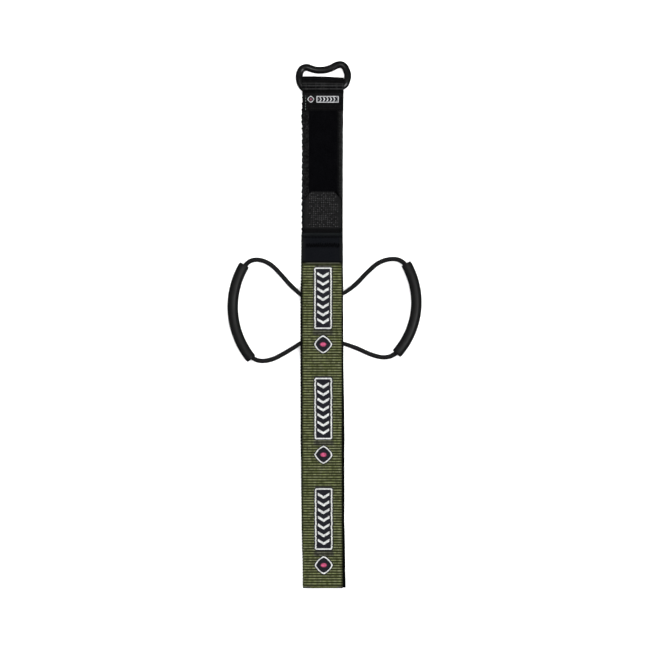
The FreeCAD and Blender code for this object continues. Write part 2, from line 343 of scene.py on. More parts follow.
def threads(name, runs, material, r=0.17, sink=0.04):
    """Separate stitches, each a short rounded bar whose ends dip into the cloth."""
    verts, uvs, faces = [], [], []
    seg = 8
    for run in runs:
        a, b = Vector(run[0]), Vector(run[1])
        n = 7
        pts = []
        for i in range(n):
            f = i / (n - 1)
            p = a.lerp(b, f)
            p.z += r * 0.9 - sink - (r * 1.5) * (abs(2 * f - 1) ** 4)
            pts.append(p)
        fr = frames(pts)
        base0 = len(verts)
        for i, p in enumerate(pts):
            t, s_, u_ = fr[i]
            k = math.sqrt(max(0.06, 1 - abs(2 * i / (n - 1) - 1) ** 6))
            for j in range(seg):
                ang = 2 * math.pi * j / seg
                verts.append(tuple(p + s_ * (r * k * math.cos(ang)) + u_ * (r * k * math.sin(ang))))
                uvs.append((j / seg, i / 10.0))
        for i in range(n - 1):
            for j in range(seg):
                j2 = (j + 1) % seg
                A = base0 + i * seg
                faces.append((A + j, A + j2, A + seg + j2, A + seg + j))
        faces.append(tuple(base0 + j for j in range(seg))[::-1])
        faces.append(tuple(base0 + (n - 1) * seg + j for j in range(seg)))
    ob = new_object(name, verts, faces, uvs, material)
    fix_normals(ob)
    return ob


# ------------------------------------------------------------------ material helpers
class Nodes:
    def __init__(self, name):
        self.mat = bpy.data.materials.new(name)
        self.mat.use_nodes = True
        self.tree = self.mat.node_tree
        self.tree.nodes.clear()
        self.out = self.tree.nodes.new("ShaderNodeOutputMaterial")
        self.bsdf = self.tree.nodes.new("ShaderNodeBsdfPrincipled")
        self.tree.links.new(self.bsdf.outputs[0], self.out.inputs[0])

    def put(self, socket, value):
        if value is None:
            return
        if isinstance(value, bpy.types.NodeSocket):
            self.tree.links.new(value, socket)
        else:
            if isinstance(value, (tuple, list)) and len(value) == 3 and len(socket.default_value) == 4:
                value = (*value, 1.0)
            socket.default_value = value

    def m(self, op, a, b=None, c=None, clamp=False):
        n = self.tree.nodes.new("ShaderNodeMath")
        n.operation = op
        n.use_clamp = clamp
        self.put(n.inputs[0], a)
        self.put(n.inputs[1], b)
        self.put(n.inputs[2], c)
        return n.outputs[0]

    def uv(self):
        n = self.tree.nodes.new("ShaderNodeUVMap")
        n.uv_map = "UVMap"
        s = self.tree.nodes.new("ShaderNodeSeparateXYZ")
        self.tree.links.new(n.outputs[0], s.inputs[0])
        return n.outputs[0], s.outputs[0], s.outputs[1]

    def obj(self):
        n = self.tree.nodes.new("ShaderNodeTexCoord")
        return n.outputs["Object"]

    def vec(self, x=0.0, y=0.0, z=0.0):
        n = self.tree.nodes.new("ShaderNodeCombineXYZ")
        self.put(n.inputs[0], x)
        self.put(n.inputs[1], y)
        self.put(n.inputs[2], z)
        return n.outputs[0]

    def noise(self, vector, scale, detail=3.0, rough=0.5, distort=0.0):
        n = self.tree.nodes.new("ShaderNodeTexNoise")
        self.put(n.inputs["Vector"], vector)
        n.inputs["Scale"].default_value = scale
        n.inputs["Detail"].default_value = detail
        n.inputs["Roughness"].default_value = rough
        n.inputs["Distortion"].default_value = distort
        return n.outputs[0]

    def voronoi(self, vector, scale, feature="F1", rand=1.0):
        n = self.tree.nodes.new("ShaderNodeTexVoronoi")
        n.feature = feature
        self.put(n.inputs["Vector"], vector)
        n.inputs["Scale"].default_value = scale
        n.inputs["Randomness"].default_value = rand
        return n.outputs["Distance"]

    def map(self, v, a, b, c=0.0, d=1.0, smooth=False):
        n = self.tree.nodes.new("ShaderNodeMapRange")
        n.clamp = True
        if smooth:
            n.interpolation_type = "SMOOTHSTEP"
        self.put(n.inputs[0], v)
        for i, q in enumerate((a, b, c, d)):
            self.put(n.inputs[i + 1], q)
        return n.outputs[0]

    def mix(self, fac, a, b):
        n = self.tree.nodes.new("ShaderNodeMix")
        n.data_type = "RGBA"
        self.put(n.inputs[0], fac)
        self.put(n.inputs[6], a)
        self.put(n.inputs[7], b)
        return n.outputs[2]

    def mul(self, col, fac):
        """colour times a number"""
        n = self.tree.nodes.new("ShaderNodeVectorMath")
        n.operation = "SCALE"
        self.put(n.inputs[0], col)
        self.put(n.inputs["Scale"], fac)
        return n.outputs[0]

    def bump(self, height, distance, strength=1.0, normal=None):
        n = self.tree.nodes.new("ShaderNodeBump")
        n.inputs["Strength"].default_value = strength
        n.inputs["Distance"].default_value = distance
        self.put(n.inputs["Height"], height)
        self.put(n.inputs["Normal"], normal)
        return n.outputs[0]

    def finish(self, color=None, rough=None, normal=None, spec=0.5, sheen=0.0, sheen_rough=0.5,
               coat=0.0, coat_rough=0.2, metallic=0.0, sheen_tint=None):
        b = self.bsdf.inputs
        self.put(b["Base Color"], color)
        self.put(b["Roughness"], rough)
        self.put(b["Normal"], normal)
        b["Specular IOR Level"].default_value = spec
        b["Sheen Weight"].default_value = sheen
        b["Sheen Roughness"].default_value = sheen_rough
        if sheen_tint:
            b["Sheen Tint"].default_value = (*sheen_tint, 1.0)
        b["Coat Weight"].default_value = coat
        b["Coat Roughness"].default_value = coat_rough
        b["Metallic"].default_value = metallic
        return self.mat


def stripes(N, x, pitch, phase=0.0):
    """0 in the valley, 1 on the crown of each rib."""
    a = N.m("MULTIPLY", N.m("ADD", x, phase), math.pi / pitch)
    return N.m("ABSOLUTE", N.m("SINE", a))


def rounded_box(N, x, y, hx, hy, r):
    """Signed distance to a rounded rectangle."""
    qx = N.m("SUBTRACT", N.m("ABSOLUTE", x), hx - r)
    qy = N.m("SUBTRACT", N.m("ABSOLUTE", y), hy - r)
    ox = N.m("MAXIMUM", qx, 0.0)
    oy = N.m("MAXIMUM", qy, 0.0)
    out = N.m("SQRT", N.m("ADD", N.m("MULTIPLY", ox, ox), N.m("MULTIPLY", oy, oy)))
    inn = N.m("MINIMUM", N.m("MAXIMUM", qx, qy), 0.0)
    return N.m("SUBTRACT", N.m("ADD", out, inn), r)


def diamond(N, x, y, h, p=1.35):
    """Signed distance-like value of a diamond with soft corners."""
    ax = N.m("POWER", N.m("ABSOLUTE", x), p)
    ay = N.m("POWER", N.m("ABSOLUTE", y), p)
    return N.m("SUBTRACT", N.m("POWER", N.m("ADD", ax, ay), 1.0 / p), h)


def below(N, d, edge, soft=0.12):
    """1 where d is under edge"""
    return N.map(d, edge - soft, edge + soft, 1.0, 0.0)


def band(N, d, lo, hi, soft=0.12):
    return N.m("MULTIPLY", below(N, d, hi, soft), N.m("SUBTRACT", 1.0, below(N, d, lo, soft)))


# ------------------------------------------------------------------ line of the webbing round the ring's bar
path = [(160.9, 2.38), (166.0, 2.36), (170.6, 2.42), (172.6, 2.95), (173.9, 4.2), (175.1, 5.7),
        (176.9, 6.5), (179.0, 6.45), (181.2, 5.55), (183.2, 4.25), (184.9, 3.3), (185.75, 2.35),
        (185.7, 1.35), (184.7, 0.72), (182.0, 0.55), (178.0, 0.47), (174.0, 0.46), (171.0, 0.46)]


def smooth_path(pts, step=0.3):
    out = []
    n = len(pts)
    for i in range(n - 1):
        p0, p1 = pts[max(i - 1, 0)], pts[i]
        p2, p3 = pts[i + 1], pts[min(i + 2, n - 1)]
        k = max(2, int(math.dist(p1, p2) / step))
        for j in range(k):
            t = j / k
            q = []
            for a in range(2):
                q.append(0.5 * (2 * p1[a] + (p2[a] - p0[a]) * t
                                + (2 * p0[a] - 5 * p1[a] + 4 * p2[a] - p3[a]) * t * t
                                + (3 * p1[a] - p0[a] - 3 * p2[a] + p3[a]) * t ** 3))
            out.append(tuple(q))
    out.append(pts[-1])
    return out


def path_rows(pts):
    rows, s = [], pts[0][0]
    for i, (y, z) in enumerate(pts):
        a, b = pts[max(i - 1, 0)], pts[min(i + 1, len(pts) - 1)]
        ty, tz = b[0] - a[0], b[1] - a[1]
        k = math.hypot(ty, tz)
        if i:
            s += math.dist(pts[i - 1], pts[i])
        rows.append((s, y, z, -tz / k, ty / k, "path"))
    return rows


sleeve_rows = path_rows(smooth_path(path))


def sleeve_s(y):
    for a, b in zip(sleeve_rows, sleeve_rows[1:]):
        if a[1] <= y <= b[1]:
            return a[0] + (b[0] - a[0]) * (y - a[1]) / (b[1] - a[1])
    return y


# ------------------------------------------------------------------ materials
WHITE_YARN = (0.340, 0.345, 0.340)
BLACK_YARN = (0.0042, 0.0042, 0.0060)
PINK_YARN = (0.275, 0.042, 0.098)


def cells(N, x, y, wx, wy, seed=0.0):
    """One random value for each cell of a grid."""
    fx = N.m("FLOOR", N.m("MULTIPLY", x, 1.0 / wx))
    fy = N.m("FLOOR", N.m("MULTIPLY", y, 1.0 / wy))
    n = N.tree.nodes.new("ShaderNodeTexWhiteNoise")
    n.noise_dimensions = "3D"
    N.put(n.inputs["Vector"], N.vec(fx, fy, seed))
    return n.outputs["Value"]


def chevron_box(N, x, t, hx, hy, stroke, pitch, slope, width, line, reach, colour, halo=0.9,
                corner=0.9, first=0.0):
    """White outline round a black field that holds plain chevrons."""
    d = rounded_box(N, x, t, hx, hy, corner)
    dark = below(N, d, halo)
    colour = N.mix(dark, colour, BLACK_YARN)
    outline = band(N, d, -stroke, 0.0)
    c = N.m("ADD", N.m("ADD", t, first), N.m("MULTIPLY", N.m("ABSOLUTE", x), slope))
    c = N.m("FLOORED_MODULO", c, pitch)
    bars = below(N, c, line, 0.14)
    inside = N.m("MULTIPLY", below(N, N.m("ABSOLUTE", x), width, 0.12),
                 below(N, N.m("ABSOLUTE", t), reach, 0.12))
    mark = N.m("MAXIMUM", outline, N.m("MULTIPLY", bars, inside))
    return colour, mark, dark


def mat_outer():
    N = Nodes("olive_ribbed_webbing")
    uv, u, v = N.uv()
    x = N.m("MULTIPLY", u, 100.0)
    s = N.m("MULTIPLY", v, 100.0)
    rib = stripes(N, s, RIB)
    row = N.m("FLOOR", N.m("MULTIPLY", s, 1.0 / RIB))
    wob = N.noise(N.vec(N.m("MULTIPLY", u, 75.0), N.m("MULTIPLY", v, 22.0), 0.0), 1.0, 3.0, 0.6)
    big = N.noise(N.vec(N.m("MULTIPLY", u, 14.0), N.m("MULTIPLY", v, 11.0), 3.0), 1.0, 3.0, 0.6)
    shift = cells(N, x, s, 500.0, RIB, 3.0)
    xs = N.m("ADD", x, N.m("MULTIPLY", shift, 2.6))
    # warp floats: each rib is a row of short dashes that catch the light unevenly
    dash = cells(N, xs, s, 2.3, RIB, 1.0)
    dash2 = cells(N, xs, s, 0.95, RIB, 2.0)
    yarn = stripes(N, x, 0.62)
    crown = N.m("POWER", rib, 4.0)
    amount = N.m("ADD", 0.12, N.m("ADD", N.m("MULTIPLY", dash, 0.62),
                                 N.m("ADD", N.m("MULTIPLY", dash2, 0.46),
                                     N.m("MULTIPLY", wob, 0.42))))
    # wider gaps between the side columns of floats
    column = N.m("ADD", 0.72, N.m("MULTIPLY", stripes(N, x, 3.7, 0.55), 0.36))
    light = N.m("MULTIPLY", N.m("MULTIPLY", crown, amount), column)
    light = N.m("MULTIPLY", light, N.m("ADD", 0.88, N.m("MULTIPLY", yarn, 0.16)), None, True)
    hue = N.noise(N.vec(N.m("MULTIPLY", u, 30.0), N.m("MULTIPLY", v, 20.0), 8.0), 1.0, 2.0, 0.6)
    deep = N.mix(big, (0.0052, 0.0068, 0.0010), (0.0088, 0.0108, 0.0022))
    high = N.mix(N.map(hue, 0.3, 0.7, 0.0, 1.0), (0.098, 0.112, 0.042), (0.120, 0.126, 0.074))
    colour = N.mix(light, deep, high)
    # weft showing low between the ribs, painted darker as shade in the valleys
    weft_gap_shade = N.m("POWER", N.m("SUBTRACT", 1.0, rib), 2.0)
    colour = N.mix(N.m("MULTIPLY", weft_gap_shade, N.m("MULTIPLY", dash2, 0.55)), colour, (0.0045, 0.0052, 0.0012))
    # motif repeats along the tape; its edges step a little from rib to rib
    P = 82.72
    jag = N.m("MULTIPLY", N.m("SUBTRACT", cells(N, s, s, RIB / 2, 500.0, 9.0), 0.5), 0.40)
    t = N.m("SUBTRACT", N.m("FLOORED_MODULO", N.m("ADD", s, -20.0 + 58.0), P), 58.0)
    axis = N.map(s, -170.0, 10.0, 0.72, 0.18)
    mx = N.m("ADD", N.m("SUBTRACT", x, axis), jag)
    near = N.m("MULTIPLY", below(N, N.m("ABSOLUTE", mx), 7.4, 0.7),
               below(N, N.m("ABSOLUTE", N.m("ADD", t, 25.9)), 2.0, 0.6))
    near2 = N.m("MULTIPLY", below(N, N.m("ABSOLUTE", mx), 6.4, 0.9),
                below(N, N.m("ABSOLUTE", N.m("SUBTRACT", t, 25.0)), 1.5, 0.5))
    near = N.m("MAXIMUM", near, near2)
    colour = N.mix(N.m("MULTIPLY", near, 0.8), colour,
                   N.mix(light, (0.0050, 0.0050, 0.0046), (0.056, 0.056, 0.048)))
    colour, mark, dark = chevron_box(N, mx, t, 6.5, 23.0, 1.02, 5.75, -0.62, 4.3, 1.95, 20.4, colour,
                                     halo=0.8, corner=1.25, first=2.2)
    # small badge between the boxes: outlined soft diamond with a plain spot
    bt = N.m("ADD", t, 34.6)
    bx = N.m("ADD", N.m("SUBTRACT", x, axis), N.m("MULTIPLY", jag, 0.7))
    dd = diamond(N, bx, bt, 6.7)
    dark2 = below(N, dd, 0.7)
    colour = N.mix(dark2, colour, BLACK_YARN)
    mark = N.m("MAXIMUM", mark, band(N, dd, -0.98, 0.0, 0.10))
    sx = N.m("MULTIPLY", bx, 1.0 / 2.5)
    sy = N.m("MULTIPLY", bt, 1.0 / 1.75)
    spot_d = N.m("SQRT", N.m("ADD", N.m("MULTIPLY", sx, sx), N.m("MULTIPLY", sy, sy)))
    spot = N.map(spot_d, 0.55, 1.12, 1.0, 0.0, True)
    fil = N.noise(N.vec(N.m("MULTIPLY", x, 1.6), N.m("MULTIPLY", s, 4.0), 0.0), 1.0, 2.0, 0.6)
    fine = N.m("MULTIPLY", N.m("ADD", 0.74, N.m("MULTIPLY", rib, 0.22)),
               N.m("ADD", 0.80, N.m("MULTIPLY", dash2, 0.36)))
    anydark = N.m("MAXIMUM", dark, dark2)
    colour = N.mix(N.m("MULTIPLY", anydark, N.m("MULTIPLY", fil, 0.5)), colour, (0.0120, 0.0120, 0.0170))
    colour = N.mix(mark, colour, N.mul(N.mix(fil, WHITE_YARN, (0.455, 0.460, 0.455)), fine))
    colour = N.mix(spot, colour, N.mul(N.mix(fil, PINK_YARN, (0.370, 0.060, 0.128)), fine))
    # the sides roll down and are painted darker as shade
    edge = N.map(N.m("ABSOLUTE", N.m("ADD", x, 0.3)), 13.7, 14.9, 1.0, 0.40, True)
    # the fold is painted darker as shade where it curves down, greyer at its two corners, greener between
    fold = N.map(s, -197.0, -195.2, 1.0, 0.0, True)
    corner = N.map(N.m("ABSOLUTE", N.m("ADD", x, -0.6)), 9.5, 10.8, 0.0, 1.0, True)
    colour = N.mix(fold, colour, N.mix(corner, (0.050, 0.056, 0.017), (0.042, 0.042, 0.039)))
    # shade of the band's edge on the first rib
    under = N.map(s, 43.8, 46.4, 1.0, 0.15, True)
    colour = N.mul(colour, N.m("MULTIPLY", edge, under))
    lip = band(N, N.m("ABSOLUTE", N.m("SUBTRACT", s, 46.35)), -1.0, 0.33, 0.15)
    lip = N.m("MULTIPLY", lip, below(N, N.m("ABSOLUTE", x), 12.6, 0.8))
    colour = N.mix(N.m("MULTIPLY", lip, 0.65), colour, (0.048, 0.049, 0.040))
    field = N.m("SUBTRACT", 1.0, N.m("MULTIPLY", anydark, 0.75))
    height = N.m("ADD", N.m("MULTIPLY", N.m("MULTIPLY", yarn, field), 0.35),
                 N.m("ADD", N.m("MULTIPLY", fil, 0.45), N.m("MULTIPLY", dash2, 0.35)))
    height = N.m("ADD", height, N.m("MULTIPLY", mark, 0.6))
    nrm = N.bump(height, 0.00016, 0.8)
    rough = N.map(light, 0.0, 1.0, 0.88, 0.6)
    return N.finish(colour, rough, nrm, spec=0.08, sheen=0.01, sheen_rough=0.45,
                    sheen_tint=(0.8, 0.85, 0.6))


def mat_black_web(label=False):
    N = Nodes("black_webbing_label" if label else "black_webbing")
    uv, u, v = N.uv()
    x = N.m("MULTIPLY", u, 100.0)
    s = N.m("MULTIPLY", v, 100.0)
    pitch = 1.72 if label else EDGE_PITCH / 2
    rib = stripes(N, s, pitch)
    col = stripes(N, x, 1.5)
    fil = N.noise(N.vec(N.m("MULTIPLY", x, 2.6), N.m("MULTIPLY", s, 1.2), 0.0), 1.0, 3.0, 0.6)
    big = N.noise(N.vec(N.m("MULTIPLY", u, 20.0), N.m("MULTIPLY", v, 20.0), 7.0), 1.0, 3.0, 0.55)
    cell = cells(N, x, s, 1.1, pitch, 4.0)
    light = N.m("MULTIPLY", N.m("MULTIPLY", rib, N.m("ADD", 0.5, N.m("MULTIPLY", col, 0.5))),
                N.m("ADD", 0.12, N.m("ADD", N.m("MULTIPLY", fil, 0.5), N.m("MULTIPLY", cell, 0.62))),
                None, True)
    if label:
        low, high = (0.0008, 0.0008, 0.0009), (0.0050, 0.0050, 0.0052)
    else:
        low, high = (0.0008, 0.0008, 0.0009), (0.0165, 0.0165, 0.0168)
    colour = N.mix(light, low, N.mul(high, N.m("ADD", 0.7, N.m("MULTIPLY", big, 0.6))))
    height = N.m("ADD", N.m("MULTIPLY", N.m("MULTIPLY", rib, col), 0.8), N.m("MULTIPLY", fil, 0.4))
    if not label:
        # loose floats stand out along the left selvedge, one line of bright ones along the right
        left = N.map(x, -13.2, -12.6, 1.0, 0.0)
        speck = cells(N, x, s, 1.25, 1.18, 8.0)
        speck = N.m("ADD", 0.30, N.m("MULTIPLY", N.m("POWER", speck, 1.4), 1.75))
        colour = N.mul(colour, N.m("ADD", 1.0, N.m("MULTIPLY", N.map(x, -10.5, -10.0, 1.0, 0.0), N.m("SUBTRACT", speck, 1.0))))
        # painted shade in the notches between the scallops of the left selvedge
        notch_shade = N.m("POWER", stripes(N, s, 2.36), 1.5)
        colour = N.mul(colour, N.m("SUBTRACT", 1.0, N.m("MULTIPLY", N.m("MULTIPLY", left, 0.75), N.m("SUBTRACT", 1.0, notch_shade))))
        back = N.map(s, -205.0, -203.0, 1.0, 0.0)
        lineR = N.m("MULTIPLY", band(N, N.m("ABSOLUTE", N.m("SUBTRACT", x, 14.55)), -1.0, 0.33, 0.2), back)
        colour = N.mix(N.m("MULTIPLY", lineR, N.m("ADD", 0.1, N.m("MULTIPLY", cell, 0.55))), colour,
                       (0.028, 0.028, 0.028))
        # the tab's cut corner keeps a dark line of shade on the right
        cut = N.m("ADD", N.m("MULTIPLY", N.m("SUBTRACT", x, 9.0), 0.787),
                  N.m("MULTIPLY", N.m("SUBTRACT", N.m("SUBTRACT", -394.34, s), 99.9), 0.617))
        cut = N.m("MULTIPLY", N.map(cut, 0.6, 1.8, 1.0, 0.0, True),
                  N.m("MULTIPLY", N.map(s, -495.0, -494.0, 0.0, 1.0), N.map(x, 6.0, 8.0, 0.0, 1.0)))
        colour = N.mul(colour, N.m("SUBTRACT", 1.0, N.m("MULTIPLY", cut, 0.8)))
        # the tail's own edges lie in the shade of the outer ply
        tail = N.map(s, -199.5, -193.0, 0.0, 1.0)
        colour = N.mul(colour, N.m("SUBTRACT", 1.0, N.m("MULTIPLY", tail, 0.62)))
    else:
        # painted highlight lines where the ribs catch the light as the webbing slopes down off the bar
        for y, w, k in ((180.65, 0.30, 0.8), (179.05, 0.34, 1.0), (176.85, 0.34, 0.95)):
            q = N.m("ABSOLUTE", N.m("SUBTRACT", s, sleeve_s(y)))
            wide = N.m("ADD", 0.45, N.m("MULTIPLY", N.noise(N.vec(N.m("MULTIPLY", u, 9.0), y, 0.0), 1.0, 1.0),
                                        1.0))
            on = N.m("MULTIPLY", below(N, q, w, 0.16), N.m("MULTIPLY", wide, k), None, True)
            on = N.m("MULTIPLY", on, N.m("ADD", 0.55, N.m("MULTIPLY", cell, 0.5)), None, True)
            colour = N.mix(on, colour, (0.0235, 0.0235, 0.0240))
            height = N.m("ADD", height, N.m("MULTIPLY", on, 0.8))
        q = N.m("ABSOLUTE", N.m("SUBTRACT", s, sleeve_s(177.75)))
        nick = N.m("MULTIPLY", below(N, q, 0.34, 0.1), N.map(stripes(N, x, 2.6), 0.35, 0.5, 0.0, 1.0))
        colour = N.mix(nick, colour, (0.0006, 0.0006, 0.0008))
        ticks = N.m("MULTIPLY", below(N, N.m("ABSOLUTE", N.m("SUBTRACT", s, sleeve_s(178.6))), 2.6, 0.3),
                    N.map(cells(N, x, s, 0.8, 500.0, 6.0), 0.80, 0.82, 0.0, 0.35))
        colour = N.mix(ticks, colour, (0.016, 0.016, 0.016))
        # painted light: the cloth is brightened where it bends under the fold, lifting the shade the bump over the bar
        # casts there
        fold_painted_lift = N.map(N.m("ABSOLUTE", N.m("SUBTRACT", s, sleeve_s(172.9))), 1.2, 3.2, 1.0, 0.0, True)
        colour = N.mul(colour, N.m("ADD", 0.90, N.m("MULTIPLY", fold_painted_lift, 1.7)))
        on = below(N, N.m("ABSOLUTE", N.m("SUBTRACT", s, 169.2)), 4.4, 0.1)
        bx = N.m("SUBTRACT", x, 3.6)
        bt = N.m("SUBTRACT", s, 169.35)
        # the chevrons run across the tape here, so the two directions change places
        c2, mark, dark = chevron_box(N, bt, bx, 2.5, 8.3, 0.58, 2.55, 0.62, 1.6, 0.78, 7.2, colour,
                                     halo=0.45, corner=0.35)
        dd = diamond(N, N.m("ADD", x, 8.95), bt, 2.55)
        ringm = band(N, dd, -0.60, 0.0)
        mark = N.m("MULTIPLY", N.m("MAXIMUM", mark, ringm), on)
        spot = N.m("MULTIPLY", below(N, dd, -1.5, 0.12), on)
        colour = N.mix(N.m("MULTIPLY", dark, on), colour, c2)
        worn = N.m("ADD", 0.62, N.m("MULTIPLY", cells(N, x, s, 0.8, 0.8, 5.0), 0.55))
        colour = N.mix(mark, colour, N.mul(N.mix(fil, (0.27, 0.275, 0.28), (0.42, 0.425, 0.43)), worn))
        colour = N.mix(spot, colour, (0.095, 0.038, 0.053))
        height = N.m("ADD", height, N.m("MULTIPLY", mark, 0.7))
    nrm = N.bump(height, 0.00018, 0.8)
    rough = N.map(light, 0.0, 1.0, 0.92, 0.7)
    return N.finish(colour, rough, nrm, spec=0.02, sheen=0.004, sheen_rough=0.4)


def mat_pile():
    N = Nodes("pile_loops")
    uv, u, v = N.uv()
    x = N.m("MULTIPLY", u, 100.0)
    s = N.m("MULTIPLY", v, 100.0)
    tuft = N.voronoi(N.vec(N.m("MULTIPLY", u, 160.0), N.m("MULTIPLY", v, 130.0), 0.0), 1.0)
    fuzz = N.noise(N.vec(N.m("MULTIPLY", u, 420.0), N.m("MULTIPLY", v, 360.0), 0.0), 1.0, 4.0, 0.7)
    big = N.noise(N.vec(N.m("MULTIPLY", u, 22.0), N.m("MULTIPLY", v, 11.0), 1.0), 1.0, 3.0, 0.6)
    h = N.m("ADD", N.m("MULTIPLY", N.m("SUBTRACT", 1.0, tuft), 0.7), N.m("MULTIPLY", fuzz, 0.6))
    colour = N.mix(N.m("MULTIPLY", fuzz, big), (0.0005, 0.0005, 0.0007), (0.0030, 0.0030, 0.0036))
    # flat woven margins either side of the loops
    rib = N.m("MULTIPLY", stripes(N, s, 1.15), stripes(N, x, 0.8))
    plain = N.mix(N.m("MULTIPLY", rib, N.m("ADD", 0.35, N.m("MULTIPLY", fuzz, 0.9))),
                  (0.0016, 0.0016, 0.0018), (0.0150, 0.0150, 0.0154))
    speck = cells(N, x, s, 1.25, 1.18, 8.0)
    speck = N.m("ADD", 0.30, N.m("MULTIPLY", N.m("POWER", speck, 1.4), 1.75))
    plain = N.mul(plain, N.m("ADD", 1.0, N.m("MULTIPLY", N.map(x, -5.0, 5.0, 1.0, 0.35), N.m("SUBTRACT", speck, 1.0))))
    left = N.map(x, -10.9, -10.4, 1.0, 0.0, True)
    right = N.map(x, 10.4, 12.6, 0.0, 1.0, True)
    colour = N.mix(N.m("MAXIMUM", left, right), colour, plain)
    # the tab's cut corner keeps a dark line of shade on the right
    cut = N.m("ADD", N.m("MULTIPLY", N.m("SUBTRACT", x, 9.0), 0.787),
              N.m("MULTIPLY", N.m("SUBTRACT", N.m("SUBTRACT", -391.2, s), 99.9), 0.617))
    cut = N.m("MULTIPLY", N.map(cut, 0.6, 1.8, 1.0, 0.0, True),
              N.m("MULTIPLY", N.map(s, -491.6, -490.6, 0.0, 1.0), N.map(x, 6.0, 8.0, 0.0, 1.0)))
    colour = N.mul(colour, N.m("SUBTRACT", 1.0, N.m("MULTIPLY", cut, 0.85)))
    nrm = N.bump(h, 0.0005, 0.9)
    rough = N.map(fuzz, 0.2, 0.8, 0.95, 0.8)
    return N.finish(colour, rough, nrm, spec=0.0, sheen=0.003, sheen_rough=0.6)


def mat_satin(hem=False):
    N = Nodes("hem_satin" if hem else "band_satin")
    uv, u, v = N.uv()
    x = N.m("MULTIPLY", u, 100.0)
    s = N.m("MULTIPLY", v, 100.0)
    twill = stripes(N, N.m("ADD", x, N.m("MULTIPLY", s, 0.55)), 0.5)
    fil = N.noise(N.vec(N.m("MULTIPLY", x, 6.0), N.m("MULTIPLY", s, 0.7), 0.0), 1.0, 3.0, 0.6)
    big = N.noise(N.vec(N.m("MULTIPLY", u, 12.0), N.m("MULTIPLY", v, 14.0), 5.0), 1.0, 3.0, 0.6)
    if hem:
        a, b = (0.0020, 0.0025, 0.0027), (0.0046, 0.0053, 0.0057)
    else:
        a, b = (0.0008, 0.0012, 0.0021), (0.0022, 0.0024, 0.0031)
    colour = N.mix(N.m("MULTIPLY", N.m("ADD", big, N.m("MULTIPLY", fil, 0.5)), 0.66), a, b)
    colour = N.mix(N.m("MULTIPLY", twill, 0.4), colour, N.mul(colour, 1.5))
    if not hem:
        side = N.map(N.m("ABSOLUTE", N.m("ADD", x, 0.4)), 12.2, 14.2, 0.0, 1.0, True)
        colour = N.mix(N.m("MULTIPLY", side, 0.8), colour, (0.0042, 0.0042, 0.0042))
        # stitched groove next to the hem and shade below the hem
        groove = below(N, N.m("ABSOLUTE", N.m("SUBTRACT", s, 65.9)), 0.55, 0.35)
        colour = N.mix(N.m("MULTIPLY", groove, 0.8), colour, (0.0008, 0.0010, 0.0012))
    else:
        # shade where the tab steps down behind the hem
        shade = N.map(s, 68.6, 69.5, 0.0, 1.0, True)
        colour = N.mix(shade, colour, (0.0008, 0.0009, 0.0010))
    h = N.m("ADD", N.m("MULTIPLY", twill, 0.5), N.m("MULTIPLY", fil, 0.4))
    nrm = N.bump(h, 0.00009, 0.7)
    rough = N.map(fil, 0.2, 0.8, 0.62, 0.48)
    return N.finish(colour, rough, nrm, spec=0.03, sheen=0.004)


def mat_hook():
    N = Nodes("hook_backing")
    uv, u, v = N.uv()
    x = N.m("MULTIPLY", u, 100.0)
    s = N.m("MULTIPLY", v, 100.0)
    px, py = 1.50, 1.38
    patch = N.noise(N.vec(N.m("MULTIPLY", u, 26.0), N.m("MULTIPLY", v, 26.0), 2.0), 1.0, 2.0, 0.5)
    fine = N.noise(N.vec(N.m("MULTIPLY", u, 300.0), N.m("MULTIPLY", v, 300.0), 2.0), 1.0, 3.0, 0.6)
    inside = N.m("MULTIPLY", below(N, N.m("ABSOLUTE", N.m("SUBTRACT", x, 0.4)), 11.4, 0.5),
                 below(N, N.m("ABSOLUTE", N.m("SUBTRACT", s, 86.4)), 13.3, 0.5))
    dot = N.m("MULTIPLY", stripes(N, x, px), stripes(N, s, py))
    pick = cells(N, x, s, px, py, 1.0)
    k = N.m("MULTIPLY", N.map(dot, 0.55, 0.85, 0.0, 1.0), N.map(pick, 0.25, 0.80, 0.0, 1.0))
    k = N.m("MULTIPLY", N.m("MULTIPLY", k, inside), N.map(patch, 0.28, 0.5, 0.35, 1.0))
    # pits of the knit fall between the dots; their near-black colour is painted shade in the recesses
    pit = N.m("MULTIPLY", stripes(N, x, px, px / 2), stripes(N, s, py, py / 2))
    pick2 = cells(N, N.m("ADD", x, px / 2), N.m("ADD", s, py / 2), px, py, 2.0)
    h = N.m("MULTIPLY", N.map(pit, 0.55, 0.85, 0.0, 1.0), N.map(pick2, 0.25, 0.80, 0.0, 1.0))
    h = N.m("MULTIPLY", N.m("MULTIPLY", h, inside), N.map(patch, 0.28, 0.5, 0.3, 1.0))
    colour = N.mix(fine, (0.0043, 0.0043, 0.0045), (0.0061, 0.0061, 0.0063))
    colour = N.mix(k, colour, (0.0380, 0.0380, 0.0386))
    colour = N.mix(h, colour, (0.0002, 0.0002, 0.0003))
    # the end near the hem dips into shade
    shade = N.map(s, 71.9, 72.9, 1.0, 0.0, True)
    colour = N.mix(N.m("MULTIPLY", shade, 0.9), colour, (0.0012, 0.0012, 0.0014))
    nrm = N.bump(N.m("ADD", N.m("SUBTRACT", k, h), N.m("MULTIPLY", fine, 0.25)), 0.00022, 0.8)
    return N.finish(colour, N.map(fine, 0.2, 0.8, 0.8, 0.65), nrm, spec=0.03, sheen=0.004)


